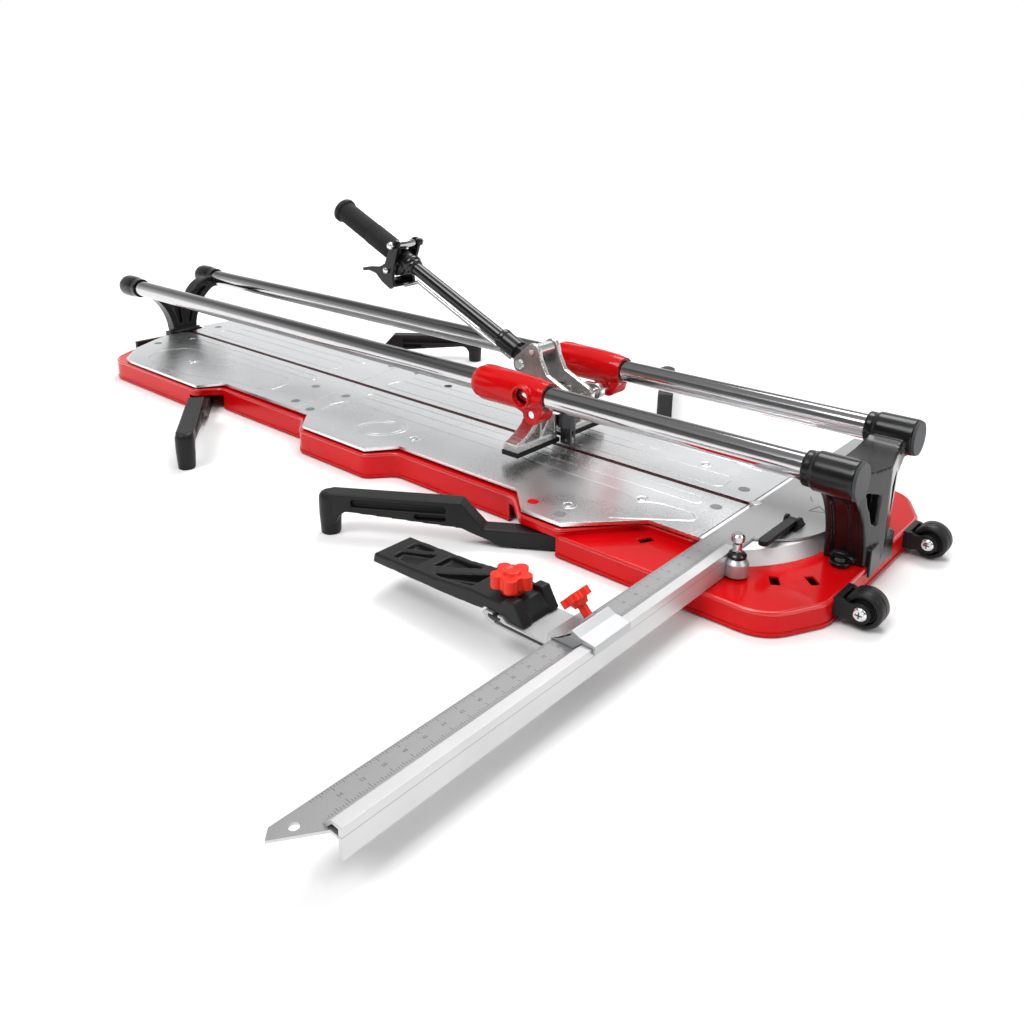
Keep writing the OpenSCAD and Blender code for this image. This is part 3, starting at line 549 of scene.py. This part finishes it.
def ruler_marks():
    """Ticks every 2.5 mm down both edges of the strip, and a figure in centimetres every 20 mm."""
    tick_step, figure_step, half_line = 2.5, 20, 0.25
    figures = 27
    ticks = int(figures * figure_step / tick_step) + 7
    left, right = STRIP_X
    parts = []
    for i in range(1, ticks + 1):
        y = SCALE_START - i * tick_step
        long = 5.5 if i % 8 == 0 else 3.6 if i % 4 == 0 else 2.2
        for x0, x1 in ((left, left + long), (right - long, right)):
            parts.append(flat_face(x0, x1, y - half_line, y + half_line, MARK_TOP))
    for i in range(1, figures + 1):
        at = ((left + right) / 2, SCALE_START - i * figure_step, MARK_TOP)
        parts.append(figure(str(i * figure_step // 10), 4.6, at))
    build("ruler_marks", "square", "mark", *join(parts), smooth=False)


ruler_marks()

# ---------------------------------------------------------------- handle and release lever
HANDLE_AT = PIVOT["handle_angle"]
ALONG = AXIS["release_rod_pull"]  # up the handle, as the release rod slides
RISE = Vector((ALONG.z, 0.0, -ALONG.x))
LEVER_PIN = PIVOT["release_squeeze"]
LEVER_ROLLER = LEVER_PIN + RISE * 45
HANDLE_PIECES = {  # name: (finish, replaced nodes, (along, radius) profile from the handle's bolt)
    "grip_sleeve": ("rubber", ("grip",), [
        (308, 10.2), (308, 15.8), (308.6, 16.8), (310, 17.3), (364, 17.5), (365.2, 16.9), (366, 16.2),
        (366.8, 16.2), (367.6, 16.7), (369, 16.9), (440, 16.8), (440, 10.2)]),
    "grip_end": ("tyre", ("grip_cap",), [
        (425, 7.6), (436, 7.6), (436, 17.0), (437, 18.8), (438.6, 19.8), (440.5, 20.0), (443.5, 19.9),
        (445.3, 19.0), (446, 17.4), (445.6, 15.8), (445.2, 14.8), (445.4, 13.6), (445.6, 0.0)]),
    "clamp_collar": ("black_gloss", (), [
        (255, 10.2), (255.4, 11.8), (256.6, 12.8), (259, 13.3), (261, 13.3), (262, 14.4),
        (263.4, 15.6), (266, 16.0), (270, 15.9), (271, 15.2), (271.4, 14.6)]),
    "knuckle_collar": ("black_gloss", (), [
        (52, 14.0), (55, 14.8), (58, 14.9), (60.5, 14.2), (61.4, 12.8), (61.8, 10.2)]),
}
ROLLER_END = [(17.0, 6.3), (17.8, 6.1), (18.3, 5.7), (18.3, 5.2)]
ROLLER_HEAD = [(31.0, 5.8), (33.2, 5.7), (34.8, 4.7), (35.8, 3.0), (36.2, 0.0)]
PIN_HEAD = [(26.6, 5.2), (28.0, 4.9), (29.0, 3.6), (29.5, 0.0)]


def mirrored(half):
    """A whole profile from its half on the positive side."""
    return [(-along, radius) for along, radius in reversed(half)] + half


def lever_pieces():
    """The roller across the release lever, and the domed heads of its two pins."""
    build("lever_roller", "lever", "chrome", *lathe(mirrored(ROLLER_END), LEVER_ROLLER, Y))
    heads = []
    for side in (-Y, Y):
        heads.append(lathe(ROLLER_HEAD, LEVER_ROLLER, side, 40))
        heads.append(lathe(PIN_HEAD, LEVER_PIN, side, 40))
    build("lever_heads", "lever", "steel", *join(heads))


for name, (finish, replaced, profile) in HANDLE_PIECES.items():
    build(name, "handle", finish, *lathe(profile, HANDLE_AT, ALONG), replaced=replaced)
lever_pieces()

# ---------------------------------------------------------------- transport wheels
HALF_TYRE = [  # from the groove round the tread, over the shoulder and the hub's ring, to the bore
    (0.6, 18.9), (1.1, 19.5), (9.5, 19.4), (11.6, 18.4), (12.9, 16.6), (13, 15.0), (12.2, 13.8),
    (9, 12.8), (9, 11.4), (10.8, 10.4), (10.8, 8.4), (10, 7.6), (10, 4.1)]
SCREW_DOME = [(19.0, 7.4), (19.9, 7.3), (21.3, 6.0), (22.2, 3.4), (22.5, 0.0)]
SLOT_OUT, SLOT_LONG, SLOT_SHORT = 22.6, 3.6, 0.7


def transport_wheels():
    """Grooved tyres on ringed hubs, and domed axle screws with a cross slot towards -Y, drawn as a flat dark
    sheet of painted shade.
    """
    domes, slot_shades = [], []
    for side in ("near", "far"):
        hub = PIVOT["roller_" + side + "_spin"]
        tyre = lathe(mirrored(HALF_TYRE), hub, Y, 80, loop=True)
        build("tyre_" + side, "roller_" + side, "tyre", *tyre, replaced=("wheel_" + side,))
        domes.append(lathe(SCREW_DOME, hub, -Y, 40))
        # the cross slot is not cut: a flat dark sheet just in front of the dome is painted shade standing for
        # the recess
        y = hub.y - SLOT_OUT
        for w, h in ((SLOT_LONG, SLOT_SHORT), (SLOT_SHORT, SLOT_LONG)):
            face = [(hub.x + u * w, y, hub.z + v * h) for u, v in ((-1, -1), (1, -1), (1, 1), (-1, 1))]
            slot_shades.append((face, [(0, 1, 2, 3)]))
    build("axle_heads", "base", "steel", *join(domes))
    build("axle_slot_shades", "base", "dark_steel", *join(slot_shades), smooth=False)


transport_wheels()

# ---------------------------------------------------------------- head shells
FLUTES, FLUTE_DEPTH = 10, 1.7
FLUTED_LENGTH = 60.0


def shell_radius(a):
    """The shell's own radius at a distance from its end: a round nose, then a slow taper."""
    nose, nose_start, nose_end, taper = 16, 19.5, 22.6, 1.2 / 42
    if a < nose:
        return nose_start + (nose_end - nose_start) * (1 - (1 - a / nose) ** 2)
    return nose_end + (a - nose) * taper


def flute_fade(a):
    """How strong the flutes are at a distance from the shell's end."""
    rise = min(1.0, a / 7.0)
    fall = 1.0 if a < 22 else max(0.0, 1 - (a - 22) / 34) ** 1.3
    return rise * fall


def shell_flutes(name, rail):
    """The fluted gripping half of a shell, fading into the smooth half."""
    rows, turns, clear, tuck = 30, 180, 0.12, 0.5
    axis = middle(rail)
    verts = []
    for i in range(rows + 1):
        a = 0.4 + FLUTED_LENGTH * i / rows
        for j in range(turns):
            t = 2 * math.pi * j / turns
            wave = (0.5 + 0.5 * math.cos(FLUTES * t)) ** 0.8
            r = shell_radius(a) + clear + FLUTE_DEPTH * flute_fade(a) * wave
            r -= tuck if i == rows else 0.0
            verts.append((SHELL_START + a, axis.y + r * math.cos(t), axis.z + r * math.sin(t)))
    build(name, "carriage", "red_cast", verts, quads(rows + 1, turns, False, True))


shell_flutes("shell_flutes_near", "rail_near")
shell_flutes("shell_flutes_far", "rail_far")

# ---------------------------------------------------------------- rolled edge of the base
WAIST = 163.0  # half the base's width at its four waists
LIP = 2.6  # radius of the rolled edge
END_ROUND, EDGE_ROUND = 30.0, 10.0


def lip(outline, top, closed):
    """The rolled edge of the pressed base: a round bar let into the outline's upper edge."""
    cols, rise = 14, 0.9
    at_end = [abs(x) > 600 and abs(y) > HALF_WIDTH - 8 for x, y in outline]
    path = rounded(outline, [END_ROUND if end else EDGE_ROUND for end in at_end], closed, 8)
    verts = []
    for i, p in enumerate(path):
        inward = across(path, i, closed)
        for j in range(cols):
            t = 2 * math.pi * j / cols
            q = p + inward * (LIP + LIP * math.cos(t))
            verts.append((q.x, q.y, top + rise - LIP + LIP * math.sin(t)))
    return verts, quads(len(path), cols, closed, True)


def base_lips():
    """The rolled edges of the raised bed and of the low bed at the square's end."""
    end, wide = HALF_LENGTH, HALF_WIDTH
    side = [(-343, -wide), (-318, -WAIST), (-90, -WAIST), (-50, -wide), (100, -wide), (128, -WAIST),
            (343, -WAIST), (384, -wide)]
    left = [(-end, -30), (-709, -84), (-635, -wide)]
    step = [(446, -wide), (508, -118), (578, -118), (578, 118), (508, 118), (446, wide)]
    far_side = [(-x, -y) for x, y in side]
    bed = left + side + step + far_side + [(-702, wide), (-end, 131)]
    low = [(446, -wide), (702, -wide), (end, -131), (end, 131), (702, wide), (446, wide)]
    lips = [lip(bed, BED_TOP, True), lip(low, LOW_BED_TOP, False)]
    build("base_lips", "base", "red_rim", *join(lips))


base_lips()

# ---------------------------------------------------------------- square, plunger and knobs
PLUNGER_NUT = [(50, 6.4), (50, 9.4), (50.8, 10.3), (53.6, 10.3), (54.8, 9.2), (56.4, 7.6), (56.6, 6.4)]
KNOB_RING = [(10.0, 9.2), (10.7, 8.8), (10.9, 8.0), (10.4, 7.2), (10.2, 0.0)]
ARROW_HEAD = [(646, 22), (664, 30), (650, 42)]
ARROW_TAIL = [(638, 50), (630, 62)]

plunger = middle("plunger_pin")
build("plunger_nut", "square", "black_gloss", *lathe(PLUNGER_NUT, (plunger.x, plunger.y, 0), Z, 48))
build("knob_rings", "bar_knob", "red_knob", *lathe(KNOB_RING, PIVOT["bar_knob_turn"], Z, 48))
build("pointer", "square", "mark", *join([
    bead(ARROW_HEAD, width=1.6, height=0.25, radius=1.0, closed=True, z=SCALE_TOP),
    bead(ARROW_TAIL, width=1.4, height=0.25, z=SCALE_TOP),
]))

# ---------------------------------------------------------------- edges of the CAD parts
WELD_GAP, FLAT_ANGLE, ROUND_ANGLE = 0.02, 1.0, 30.0


def soften(names, width, segments):
    """Merge the tessellation's double points, drop its flat triangles and round the edges."""
    for node in names.split():
        add = nodes[node].modifiers.new
        add("weld", "WELD").merge_threshold = WELD_GAP * MM
        flats = add("flats", "DECIMATE")
        flats.decimate_type = "DISSOLVE"
        flats.angle_limit = math.radians(FLAT_ANGLE)
        edges = add("round", "BEVEL")
        edges.width = width * MM
        edges.segments = segments
        edges.limit_method = "ANGLE"
        edges.angle_limit = math.radians(ROUND_ANGLE)
        edges.harden_normals = False
        add("normals", "WEIGHTED_NORMAL").keep_sharp = True


def cast(names, voxel, relaxing):
    """Round a casting all over: remesh it finely and relax it."""
    for node in names.split():
        add = nodes[node].modifiers.new
        remesh = add("remesh", "REMESH")
        remesh.mode = "VOXEL"
        remesh.voxel_size = voxel * MM
        remesh.use_smooth_shade = True
        relax = add("relax", "SMOOTH")
        relax.factor = 0.5
        relax.iterations = relaxing


soften("base_tray", 2.2, 3)
soften(DECK_PLATES, 0.8, 2)
soften("square_ruler turntable_bed stop_saddle plunger_boss", 0.5, 2)
cast("rear_support front_support", 1.6, 3)
cast(SUPPORT_ARMS + " stop_arm", 1.4, 2)
cast("shell_near shell_far breaker_frame hinge_block", 1.0, 2)

# ---------------------------------------------------------------- camera
CAMERA_AT = Vector((1.0398, -0.9551, 0.5066))  # metres
CAMERA_AZIMUTH, CAMERA_HEIGHT, CAMERA_ROLL = 41.36, 14.98, 0.34  # degrees
LENS, SENSOR = 32.25234, 36.0
SHIFT = -0.158203  # part of the picture's width


def look_from(azimuth, elevation):
    """The direction from the part towards a viewer, from angles in degrees."""
    a, e = math.radians(azimuth), math.radians(elevation)
    return Vector((math.sin(a) * math.cos(e), -math.cos(a) * math.cos(e), math.sin(e)))


def make_camera():
    back = look_from(CAMERA_AZIMUTH, CAMERA_HEIGHT)
    level = Z.cross(back).normalized()
    upright = back.cross(level)
    c, s = math.cos(math.radians(CAMERA_ROLL)), math.sin(math.radians(CAMERA_ROLL))
    axes = Matrix((level * c + upright * s, upright * c - level * s, back)).transposed()
    camera = bpy.data.objects.new("camera", bpy.data.cameras.new("camera"))
    bpy.context.scene.collection.objects.link(camera)
    camera.matrix_world = Matrix.Translation(CAMERA_AT) @ axes.to_4x4()
    camera.data.sensor_width = SENSOR
    camera.data.lens = LENS
    camera.data.shift_y = SHIFT
    camera.data.clip_end = 100.0
    bpy.context.scene.camera = camera


# ---------------------------------------------------------------- floor, world and lights
# Brightness of the two sides of the studio by height, from the horizon (0) to straight up (1).
ROOM_STOPS = [(0.0, 0.42), (0.08, 0.4), (0.16, 0.07), (0.62, 0.05), (0.82, 0.3), (1.0, 0.4)]
BACKDROP_STOPS = [(0.0, 0.42), (0.2, 0.42), (0.4, 0.32), (0.62, 0.12), (0.82, 0.3), (1.0, 0.4)]
BACKDROP_SIDE = (-0.66, 0.751, 0.0)  # away from the camera
WORLD_STRENGTH = 2.4


def make_floor():
    mesh = bpy.data.meshes.new("floor")
    bm = bmesh.new()
    bmesh.ops.create_circle(bm, cap_ends=True, segments=96, radius=30.0)
    bm.to_mesh(mesh)
    bm.free()
    floor = bpy.data.objects.new("floor", mesh)
    bpy.context.scene.collection.objects.link(floor)
    g = Graph("floor")
    g.put(g.bsdf.inputs["Base Color"], g.mix(g.noise(3.0), shade((0.9, 0.9, 0.9)), shade((0.92, 0.92, 0.92))))
    g.bsdf.inputs["Roughness"].default_value = 0.9
    g.bsdf.inputs["Specular IOR Level"].default_value = 0.1
    mesh.materials.append(g.mat)


def brightness(tree, height, stops):
    """A ramp of greys over a height."""
    ramp = tree.nodes.new("ShaderNodeValToRGB")
    ramp.color_ramp.interpolation = "EASE"
    tree.links.new(height, ramp.inputs[0])
    elements = ramp.color_ramp.elements
    for element, (at, value) in zip(elements, (stops[0], stops[-1])):
        element.position = at
        element.color = shade((value,) * 3)
    for at, value in stops[1:-1]:
        elements.new(at).color = shade((value,) * 3)
    return ramp.outputs[0]


def make_world():
    """A bright backdrop behind the part, a darker room on the camera's side, and plain white behind all."""
    world = bpy.data.worlds.new("studio")
    bpy.context.scene.world = world
    world.use_nodes = True
    tree = world.node_tree
    tree.nodes.clear()
    new, link = tree.nodes.new, tree.links.new
    at = new("ShaderNodeTexCoord").outputs["Generated"]
    height = new("ShaderNodeSeparateXYZ")
    link(at, height.inputs[0])
    towards = new("ShaderNodeVectorMath")
    towards.operation = "DOT_PRODUCT"
    towards.inputs[1].default_value = BACKDROP_SIDE
    link(at, towards.inputs[0])
    side = new("ShaderNodeMapRange")
    side.interpolation_type = "SMOOTHSTEP"
    side.inputs["From Min"].default_value = -0.15
    side.inputs["From Max"].default_value = 0.55
    link(towards.outputs["Value"], side.inputs["Value"])
    mix = new("ShaderNodeMix")
    mix.data_type = "RGBA"
    link(side.outputs[0], mix.inputs["Factor"])
    link(brightness(tree, height.outputs["Z"], ROOM_STOPS), mix.inputs["A"])
    link(brightness(tree, height.outputs["Z"], BACKDROP_STOPS), mix.inputs["B"])
    studio = new("ShaderNodeBackground")
    studio.inputs["Strength"].default_value = WORLD_STRENGTH
    link(mix.outputs["Result"], studio.inputs[0])
    # the studio lights the part, but what is seen behind it is plain white
    paper = new("ShaderNodeBackground")
    paper.inputs["Color"].default_value = (1.0, 1.0, 1.0, 1.0)
    both = new("ShaderNodeMixShader")
    link(new("ShaderNodeLightPath").outputs["Is Camera Ray"], both.inputs[0])
    link(studio.outputs[0], both.inputs[1])
    link(paper.outputs[0], both.inputs[2])
    link(both.outputs[0], new("ShaderNodeOutputWorld").inputs[0])


def sun(name, azimuth, elevation, strength, spread):
    light = bpy.data.objects.new(name, bpy.data.lights.new(name, "SUN"))
    bpy.context.scene.collection.objects.link(light)
    light.rotation_euler = look_from(azimuth, elevation).to_track_quat("Z", "Y").to_euler()
    light.data.energy = strength
    light.data.angle = math.radians(spread)


make_camera()
make_floor()
make_world()
sun("key", azimuth=-10.0, elevation=55.0, strength=1.7, spread=30.0)
sun("back", azimuth=200.0, elevation=58.0, strength=1.5, spread=30.0)
sun("side", azimuth=100.0, elevation=40.0, strength=0.6, spread=25.0)
bpy.context.scene.view_settings.view_transform = "Standard"
